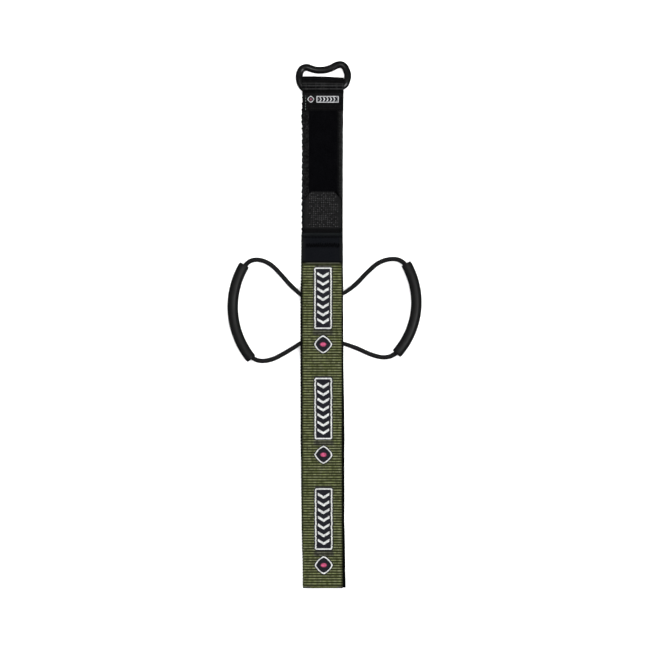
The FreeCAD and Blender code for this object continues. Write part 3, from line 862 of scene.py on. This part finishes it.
def mat_ring():
    N = Nodes("ring_polymer")
    ob = N.obj()
    fine = N.noise(ob, 2600.0, 3.0, 0.6)
    big = N.noise(ob, 130.0, 3.0, 0.6)
    uv, u, v = N.uv()
    scuff = N.map(N.noise(N.vec(N.m("MULTIPLY", u, 14.0), N.m("MULTIPLY", v, 5.0), 0.0), 1.0, 5.0, 0.7),
                  0.56, 0.74, 0.0, 1.0)
    colour = N.mix(big, (0.0008, 0.0008, 0.0009), (0.0016, 0.0016, 0.0017))
    colour = N.mix(N.m("MULTIPLY", scuff, 0.5), colour, (0.007, 0.007, 0.007))
    nrm = N.bump(N.m("ADD", fine, N.m("MULTIPLY", big, 0.6)), 0.00002, 0.25)
    rough = N.map(N.m("ADD", N.m("MULTIPLY", big, 0.5), N.m("MULTIPLY", scuff, 0.5)), 0.0, 1.0, 0.15, 0.24)
    return N.finish(colour, rough, nrm, spec=0.31)


def mat_cord():
    N = Nodes("cord_braid")
    uv, u, v = N.uv()
    L = N.m("MULTIPLY", v, 10.0)
    k = 1.55
    a = stripes(N, N.m("ADD", N.m("MULTIPLY", u, 8.0), N.m("MULTIPLY", L, 1.0 / k)), 1.0)
    b = stripes(N, N.m("SUBTRACT", N.m("MULTIPLY", u, 8.0), N.m("MULTIPLY", L, 1.0 / k)), 1.0)
    w = N.m("MULTIPLY", a, b)
    fil = N.noise(N.vec(N.m("MULTIPLY", u, 60.0), N.m("MULTIPLY", L, 3.0), 0.0), 1.0, 3.0, 0.6)
    colour = N.mix(N.m("MULTIPLY", w, N.m("ADD", 0.4, N.m("MULTIPLY", fil, 0.8))),
                   (0.0026, 0.0026, 0.0028), (0.0112, 0.0112, 0.0114))
    nrm = N.bump(N.m("ADD", w, N.m("MULTIPLY", fil, 0.3)), 0.00022, 0.7)
    return N.finish(colour, N.map(fil, 0.2, 0.8, 0.8, 0.6), nrm, spec=0.06, sheen=0.008)


def mat_grip():
    N = Nodes("grip_rubber")
    uv, u, v = N.uv()
    ob = N.obj()
    fine = N.noise(ob, 1500.0, 4.0, 0.65)
    big = N.noise(ob, 90.0, 3.0, 0.6)
    drawn = N.noise(N.vec(N.m("MULTIPLY", u, 26.0), N.m("MULTIPLY", v, 0.9), 0.0), 1.0, 3.0, 0.6)
    colour = N.mix(big, (0.0028, 0.0028, 0.0029), (0.0042, 0.0042, 0.0043))
    colour = N.mix(N.m("MULTIPLY", drawn, 0.35), colour, (0.0072, 0.0072, 0.0072))
    nrm = N.bump(N.m("ADD", N.m("MULTIPLY", fine, 0.5), drawn), 0.00005, 0.7)
    rough = N.map(N.m("ADD", N.m("MULTIPLY", fine, 0.5), N.m("MULTIPLY", big, 0.5)), 0.2, 0.8, 0.33, 0.44)
    return N.finish(colour, rough, nrm, spec=0.125)


def mat_thread(kind="black"):
    N = Nodes("%s_thread" % kind)
    uv, u, v = N.uv()
    tw = stripes(N, N.m("ADD", N.m("MULTIPLY", u, 2.0), N.m("MULTIPLY", v, 30.0)), 1.0)
    low, high = {"black": ((0.0001, 0.0001, 0.0002), (0.0008, 0.0008, 0.0010)),
                 "pale": ((0.045, 0.060, 0.055), (0.135, 0.160, 0.150)),
                 "olive": ((0.014, 0.017, 0.005), (0.052, 0.058, 0.024))}[kind]
    colour = N.mix(tw, low, high)
    return N.finish(colour, N.map(tw, 0.0, 1.0, 0.8, 0.55), N.bump(tw, 0.00006, 0.8),
                    spec=0.2 if kind == "pale" else 0.02)


M_OUTER = mat_outer()
M_BLACK = mat_black_web()
M_LABEL = mat_black_web(True)
M_PILE = mat_pile()
M_BAND = mat_satin()
M_HEM = mat_satin(True)
M_HOOK = mat_hook()
M_RING = mat_ring()
M_CORD = mat_cord()
M_GRIP = mat_grip()
M_THREAD = mat_thread()
M_PALE = mat_thread("pale")
M_OLIVE_THREAD = mat_thread("olive")


# ------------------------------------------------------------------ strap: three plies, each one piece
def by_part(tail, back):
    return lambda y, part: back(y) if part == "back" else tail(y)


def rib_profile(pitch, height, power):
    def f(s, x):
        k = abs(math.sin(math.pi * s / pitch)) ** power
        n = noise.noise(Vector((x * 0.55, s * 0.9, 4.0)))
        return height * (k - 1.0) + 0.05 * n - 0.05
    return f


outer = ribbon("outer_webbing", folded_rows(2.65, 47.2, 171.2, RIB / 7, RIB / 5, lift=True),
               by_part(outer_hw, outer_hw), by_part(outer_c, outer_c), 1.0, 22, M_OUTER,
               outer=rib_profile(RIB, 0.30, 0.65),
               edge=lambda s, side: 0.13 * abs(math.sin(math.pi * s / RIB)) - 0.06
               + 0.10 * noise.noise(Vector((s * 0.13, side * 3.0, 0.0))))
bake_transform(outer)
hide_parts("outer_webbing_back", "outer_webbing_fold", "outer_webbing_tail")


def base_flare(x, ny):
    # where the outer ply doesn't cover it, the base ply's turn stands further out
    k = min(1.0, max(0.0, (x - 14.0) / 0.8)) * min(1.0, max(0.0, (17.35 - x) / 1.1)) ** 0.5
    return -0.90 * ny * ny * k


def base_edge(s, side):
    amp = (0.42 if s < FOLD_Y - 8 else 0.17) if side < 0 else 0.06
    k = math.sin(2 * math.pi * s / EDGE_PITCH + 0.8 * noise.noise(Vector((s * 0.11, side, 1.0))))
    if side < 0 and s < FOLD_Y - 8:
        return 0.24 * math.sin(2 * math.pi * s / 4.72) + 0.17 * k + \
            0.16 * noise.noise(Vector((s * 0.31, 4.0, 2.0)))
    return amp * k * (0.8 + 0.5 * noise.noise(Vector((s * 0.07, side, 9.0)))) + \
        0.15 * noise.noise(Vector((s * 0.05, side * 5.0, 2.0)))


base = ribbon("base_webbing", folded_rows(1.70, 69.2, 171.2, EDGE_PITCH / 6, EDGE_PITCH / 6, lift=True),
              by_part(tail_hw, back_hw), by_part(tail_c, back_c), 0.9, 12, M_BLACK,
              inner=lambda s, x: 0.05 + 0.06 * abs(math.sin(math.pi * s / EDGE_PITCH)),
              outer=lambda s, x: -0.08 * abs(math.sin(math.pi * s / EDGE_PITCH)),
              edge=base_edge, inner_cols=12, flare=base_flare)
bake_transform(base)
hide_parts("base_webbing_back", "base_webbing_fold", "base_webbing_tail")

pile_hw = lambda y, part: 12.45
pile_c = lambda y, part: 0.15 if part == "back" else (0.3 if y < -150 else 0.0)


def pile_face(s, x):
    margin = 0.42 * min(1.0, max(0.0, (abs(x) - 10.5) / 0.5))
    return -margin + 0.10 * noise.noise(Vector((x * 1.9, s * 1.7, 0.0))) + \
        0.06 * noise.noise(Vector((x * 0.3, s * 0.12, 5.0))) - 0.12


pile = ribbon("pile_tape", folded_rows(0.70, 68.6, 161.0, 0.8, 0.6), pile_hw,
              lambda y, part: -0.4, 1.1, 6, M_PILE,
              inner=lambda s, x: -pile_face(s, x), inner_cols=40)
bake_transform(pile)
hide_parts("pile_tape_back", "pile_tape_fold", "pile_tape_tail")

# ------------------------------------------------------------------ webbing round the ring's bar
sleeve = ribbon("ring_webbing", sleeve_rows, lambda y, p: 15.38 + (0.12 if y > 173 else 0.0),
                lambda y, p: 0.15, 0.86, 26, M_LABEL,
                outer=lambda s, x: -0.06 * abs(math.sin(math.pi * s / EDGE_PITCH)),
                edge=lambda s, side: 0.12 * math.sin(2 * math.pi * s / EDGE_PITCH)
                * (1.0 if side < 0 else 0.4), inner_cols=8)
# the slack end isn't square: its right side lies a little nearer the bar, and sags in the middle
for vert in sleeve.data.vertices:
    y = vert.co.y / MM
    if y > 178.0:
        k = min(1.0, (y - 178.0) / 7.0)
        xx = vert.co.x / MM
        vert.co.y += MM * k * (0.25 - 0.030 * xx - 0.0016 * xx * xx)
    if vert.co.z < 0.00002:
        vert.co.z = 0.00002
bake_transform(sleeve)
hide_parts("ring_webbing_loop", "ring_webbing_return")

# ------------------------------------------------------------------ cinch ring
outline = [(18.37, 184.42), (18.77, 186.54), (18.58, 188.71), (17.84, 190.82), (16.9, 192.89),
           (15.51, 194.6), (13.65, 195.43), (11.56, 195.23), (9.53, 194.45), (7.61, 193.4),
           (5.62, 192.5), (3.55, 191.79), (1.42, 191.32), (-0.73, 191.12), (-2.9, 191.12),
           (-5.05, 191.29), (-7.16, 191.78), (-9.24, 192.52), (-11.42, 193.27),
           (-13.69, 193.09), (-15.63, 192.02), (-16.82, 190.18), (-17.49, 188.1),
           (-17.67, 185.95), (-17.5, 183.79), (-16.96, 181.7), (-16.02, 179.76),
           (-14.7, 178.04), (-12.86, 176.81), (-10.56, 176.7), (-8.31, 176.84), (-6.16, 177.01),
           (-4.0, 177.14), (-1.84, 177.26), (0.32, 177.39), (2.49, 177.51), (4.65, 177.63),
           (6.81, 177.76), (8.97, 177.88), (11.13, 177.99), (13.24, 178.32), (15.09, 179.13),
           (16.76, 180.44), (17.75, 182.35)]
turn, tilt = math.radians(3.7), math.radians(4.2)


def ring_z(x, y):
    v = -(x - 1.13) * math.sin(turn) + (y - 177.4) * math.cos(turn)
    return 3.6 - v * math.sin(tilt)


line = closed_points([(x, y, ring_z(x, y)) for x, y in outline], 5)
ring = tube("cinch_ring_body", line, 2.3, M_RING, segments=40, closed=True,
            shape=lambda i, f: (2.62, 2.28))
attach(ring, "ring")
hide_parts("cinch_ring")

# ------------------------------------------------------------------ joining band and hem
band_rows = [(y, y, 5.3 + 0.55 + 0.05 * math.sin(y * 0.9), 0.0, 1.0, "tail")
             for y in spread(47.3, 67.3, 0.3)]
band_ob = ribbon("joining_band_cloth", band_rows, lambda y, p: 15.42, lambda y, p: -0.54, 1.1, 30, M_BAND,
                 outer=lambda s, x: 0.05 * noise.noise(Vector((x * 0.25, s * 0.3, 0)))
                 - (0.10 if abs(s - 65.7) < 0.45 else 0.0),
                 edge=lambda s, side: 0.10 * math.sin(2 * math.pi * s / 2.6 + side))
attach(band_ob, "strap_tail")
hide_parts("joining_band")
hem_rows = []
for i in range(13):
    a = math.pi * i / 12
    hem_rows.append((66.6 + 3.0 * i / 12, 66.6 + 3.0 * i / 12, 5.75 + 0.42 * math.sin(a), 0.0, 1.0, "tail"))
hem = ribbon("band_hem_cloth", hem_rows, lambda y, p: 15.3, lambda y, p: -0.5, 1.15, 30, M_HEM)
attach(hem, "strap_tail")
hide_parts("band_hem")

rnd = random.Random(7)
top = 6.42
runs = []
x = -13.9
while x < 13.2:
    runs.append(((x, 65.75 + rnd.uniform(-.06, .06), top), (x + 1.9, 65.75 + rnd.uniform(-.06, .06), top)))
    x += 2.45
x, up = -12.7, True
while x < 12.6:
    ya, yb = (57.7, 61.5) if up else (61.5, 57.7)
    runs.append(((x, ya + rnd.uniform(-.5, .5), top + 0.12), (x + 0.85, yb + rnd.uniform(-.3, .3), top + 0.12)))
    x += 0.85
    up = not up
zig = threads("band_stitching", runs, M_THREAD, r=0.26)
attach(zig, "strap_tail")
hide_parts("band_stitches")

# ------------------------------------------------------------------ edge rows, bar tacks, seam
runs = []
for side in (-1, 1):
    y = -190.0
    while y < 46.0:
        z = 5.3 + 1.0 - 0.10 + raised(y + 0.8)
        xx = outer_c(y) + side * 13.9
        runs.append(((xx, y, z), (xx, y + 1.75, z)))
        y += RIB * 1.5
edge_rows = threads("outer_edge_rows", runs, M_OLIVE_THREAD, r=0.13, sink=0.10)
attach(edge_rows, "strap_tail")
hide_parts("outer_edge_stitches")

runs = []
for yc in (CROSS_UP_Y, CROSS_LO_Y):
    for side in (-1, 1):
        for e in (-1, 1):
            for i in range(5):
                yy = yc + e * 8.6 + (i - 2) * 0.22
                z = 6.22 + raised(yy)
                runs.append(((side * 13.7 - 0.3, yy, z), (side * 11.9 - 0.3, yy, z)))
tacks = threads("bar_tacks", runs, M_OLIVE_THREAD, r=0.13, sink=0.06)
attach(tacks, "strap_tail")
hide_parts("channel_bartacks")

runs = []
for side in (-1, 1):
    y = -188.0
    while y < 159.0:
        runs.append(((side * 11.7, y, 2.98), (side * 11.7, y + 1.9, 2.98)))
        y += 2.7
pile_rows = threads("pile_edge_rows", runs, M_THREAD, r=0.14, sink=0.12)
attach(pile_rows, "strap_back")
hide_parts("pile_edge_stitches")

runs = []
x = -14.0
while x < 13.0:
    runs.append(((x, 172.55, 3.32), (x + 1.8, 172.6, 3.32)))
    x += 2.5
seam = threads("ring_seam", runs, M_THREAD, r=0.2)
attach(seam, "strap_back")
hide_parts("ring_seam_stitches")
runs = []
y = 161.2
while y < 171.6:
    runs.append(((-12.85 + rnd.uniform(-.08, .08), y, 2.80), (-12.85, y + 1.35, 2.80)))
    y += 2.05
side_row = threads("return_side_row", runs, M_PALE, r=0.2)
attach(side_row, "strap_back")
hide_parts("return_side_stitches")

# ------------------------------------------------------------------ hook tab
tab_hw = table([(69.0, 14.0), (70.9, 14.05)])


def tab_w(y, part):
    if y <= 93.8:
        return 14.05 - 0.3 * max(0.0, (y - 80) / 13.8) ** 2
    return 13.75 - (13.75 - 8.8) * (y - 93.8) / 6.1


tab_rows = [(y, y, 3.95, 0.0, 1.0, "tab") for y in
            [69.25 + 0.25 * i for i in range(16)] + spread(73.4, 93.8, 0.8) + spread(94.2, 99.9, 0.3)]
tab = ribbon("hook_tab_cloth", tab_rows, tab_w, lambda y, p: 0.0, 1.22, 30, M_HOOK,
             outer=lambda s, x: 0.03 * noise.noise(Vector((x * 0.5, s * 0.5, 3))), inner_cols=30)
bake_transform(tab)
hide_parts("hook_tape", "hook_tab_backing")

# ------------------------------------------------------------------ elastic cord: crossings and loops
LEFT_ROUTE = [(-16.9, 23.0), (-23.4, 28.6), (-31.6, 38.2), (-39.5, 46.25),
              (-49.6, 49.75), (-58.0, 46.4), (-63.7, 33.2), (-66.8, 19.2),
              (-66.4, 6.3), (-64.6, -2.5), (-60.5, -14.2), (-52.2, -26.6),
              (-40.6, -27.4), (-28.3, -21.3), (-16.9, -13.9)]
RIGHT_ROUTE = [(16.9, 24.5), (23.9, 29.1), (32.5, 38.8), (43.9, 48.75),
               (59.5, 50.0), (66.2, 36.9), (69.0, 25.5), (69.6, 13.7),
               (67.1, 0.0), (61.8, -11.7), (54.7, -22.3), (46.2, -25.0),
               (35.8, -22.3), (24.7, -16.9), (16.9, -14.4)]


def with_height(route):
    out = []
    n = len(route)
    for i, (x, y) in enumerate(route):
        k = min(1.0, min(i, n - 1 - i) / 3.0)
        out.append((x, y, CORD_Z + (GRIP_Z - CORD_Z) * (k * k * (3 - 2 * k))))
    return out


for side, route in (("left", LEFT_ROUTE), ("right", RIGHT_ROUTE)):
    pts = nurbs_points(with_height(route))
    cord = tube("%s_cord_sheath" % side, pts, 1.5, M_CORD, segments=20,
                shape=lambda i, f: (1.5 + 0.22 * min(1.0, min(f, 1 - f) / 0.05), 1.5))
    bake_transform(cord)
    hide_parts("%s_cord" % side)

for node, yl, yr, ml, mr, yc in (("cord_crossing_upper", 23.0, 24.5, -0.862, 0.657, 23.45),
                                 ("cord_crossing_lower", -13.9, -14.4, 0.649, -0.321, -14.1)):
    pts = []
    for i in range(81):
        f = i / 80
        xx = -16.9 + 33.8 * f
        dl, dr = xx + 16.9, 16.9 - xx
        k = 1.7
        yy = yl + ml * k * (1 - math.exp(-dl / k)) if f < 0.5 else yr - mr * k * (1 - math.exp(-dr / k))
        edge = min(dl, dr)
        w = min(1.0, max(0.0, (edge - 2.0) / 6.0))
        w = w * w * (3 - 2 * w)
        pts.append((xx, yy + (yc - yy) * w, CORD_Z))

    def flat(i, f):
        e = min(f, 1 - f) * 33.8
        k = min(1.0, max(0.0, (e - 1.2) / 2.0))
        k = k * k * (3 - 2 * k)
        return 1.5 + 0.55 * k, 1.5 - 0.78 * k
    cross = tube("%s_sheath" % node, pts, 1.5, M_CORD, segments=20, shape=flat)
    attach(cross, "strap_tail")
    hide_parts(node)

# ------------------------------------------------------------------ rubber tube grips
for side, (cx, cy, r, a0, a1) in (("left", (-6.35, 13.55, 61.18, 148.9, 219.7)),
                                  ("right", (12.61, 17.07, 57.6, -42.2, 30.3))):
    pts = []
    n = 90
    for i in range(n + 1):
        a = math.radians(a0 + (a1 - a0) * i / n)
        pts.append((cx + r * math.cos(a), cy + r * math.sin(a), GRIP_Z))

    def wall(i, f):
        e = min(i, n - i)
        k = (0.90, 0.97, 1.0)[min(e, 2)]
        return 4.00 * k, 3.83 * k
    grip = tube("%s_grip_tube" % side, pts, 3.83, M_GRIP, segments=40, shape=wall, ends="open",
                bore=3.05)
    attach(grip, "%s_pull" % side)
    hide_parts("%s_grip" % side)

# ------------------------------------------------------------------ stage, light and camera
floor_mat = Nodes("pale_floor")
fn = floor_mat.noise(floor_mat.obj(), 7.0, 3.0, 0.5)
floor_mat.finish(floor_mat.mix(fn, (0.90, 0.90, 0.90), (0.92, 0.92, 0.92)), 0.9, None, spec=0.05)
bpy.ops.mesh.primitive_plane_add(size=6.0, location=(0, 0, -0.00006))
floor = bpy.context.object
floor.name = "floor"
floor.data.materials.append(floor_mat.mat)
floor.visible_glossy = False
floor.visible_diffuse = False

world = bpy.data.worlds.new("studio")
world.use_nodes = True
bg = world.node_tree.nodes["Background"]
bg.inputs[0].default_value = (1.0, 1.0, 1.0, 1.0)
wt = world.node_tree
coord = wt.nodes.new("ShaderNodeTexCoord")
split = wt.nodes.new("ShaderNodeSeparateXYZ")
wt.links.new(coord.outputs["Generated"], split.inputs[0])
ramp = wt.nodes.new("ShaderNodeMapRange")
ramp.inputs[1].default_value = -0.12
ramp.inputs[2].default_value = 0.0
ramp.inputs[3].default_value = 0.02
ramp.inputs[4].default_value = 0.20
wt.links.new(split.outputs[2], ramp.inputs[0])
wt.links.new(ramp.outputs[0], bg.inputs[1])
bpy.context.scene.world = world


def area(name, loc, size, power, target=(0, 0, 0)):
    li = bpy.data.lights.new(name, "AREA")
    li.shape = "SQUARE"
    li.size = size
    li.energy = power
    ob = bpy.data.objects.new(name, li)
    ob.location = loc
    d = Vector(target) - Vector(loc)
    ob.rotation_euler = d.to_track_quat("-Z", "Y").to_euler()
    bpy.context.scene.collection.objects.link(ob)
    return ob


for soft in (area("top_soft", (0.0, 0.25, 2.6), 1.6, 49.5),
             area("left_soft", (-1.9, 0.5, 1.7), 1.5, 33.0),
             area("right_soft", (1.9, 0.2, 1.7), 1.5, 33.0),
             area("ring_end_soft", (0.0, 2.1, 1.5), 1.4, 38.0)):
    soft.visible_glossy = False
area("key_small", (1.15, -0.3, 2.2), 0.8, 33.0)
area("key_top", (-0.22, 0.30, 2.3), 0.45, 6.5)

cam = bpy.data.cameras.new("camera")
cam.lens = 36.0 * 2.0 / 0.4875
cam.sensor_width = 36.0
cam.clip_start = 0.05
cam.clip_end = 20.0
cam_ob = bpy.data.objects.new("camera", cam)
cam_ob.location = (0.001675, -0.0001, 2.0 + 0.004)
cam_ob.rotation_euler = (0, 0, 0)
bpy.context.scene.collection.objects.link(cam_ob)
bpy.context.scene.camera = cam_ob
bpy.context.scene.view_settings.view_transform = "Standard"
bpy.context.scene.view_settings.look = "None"
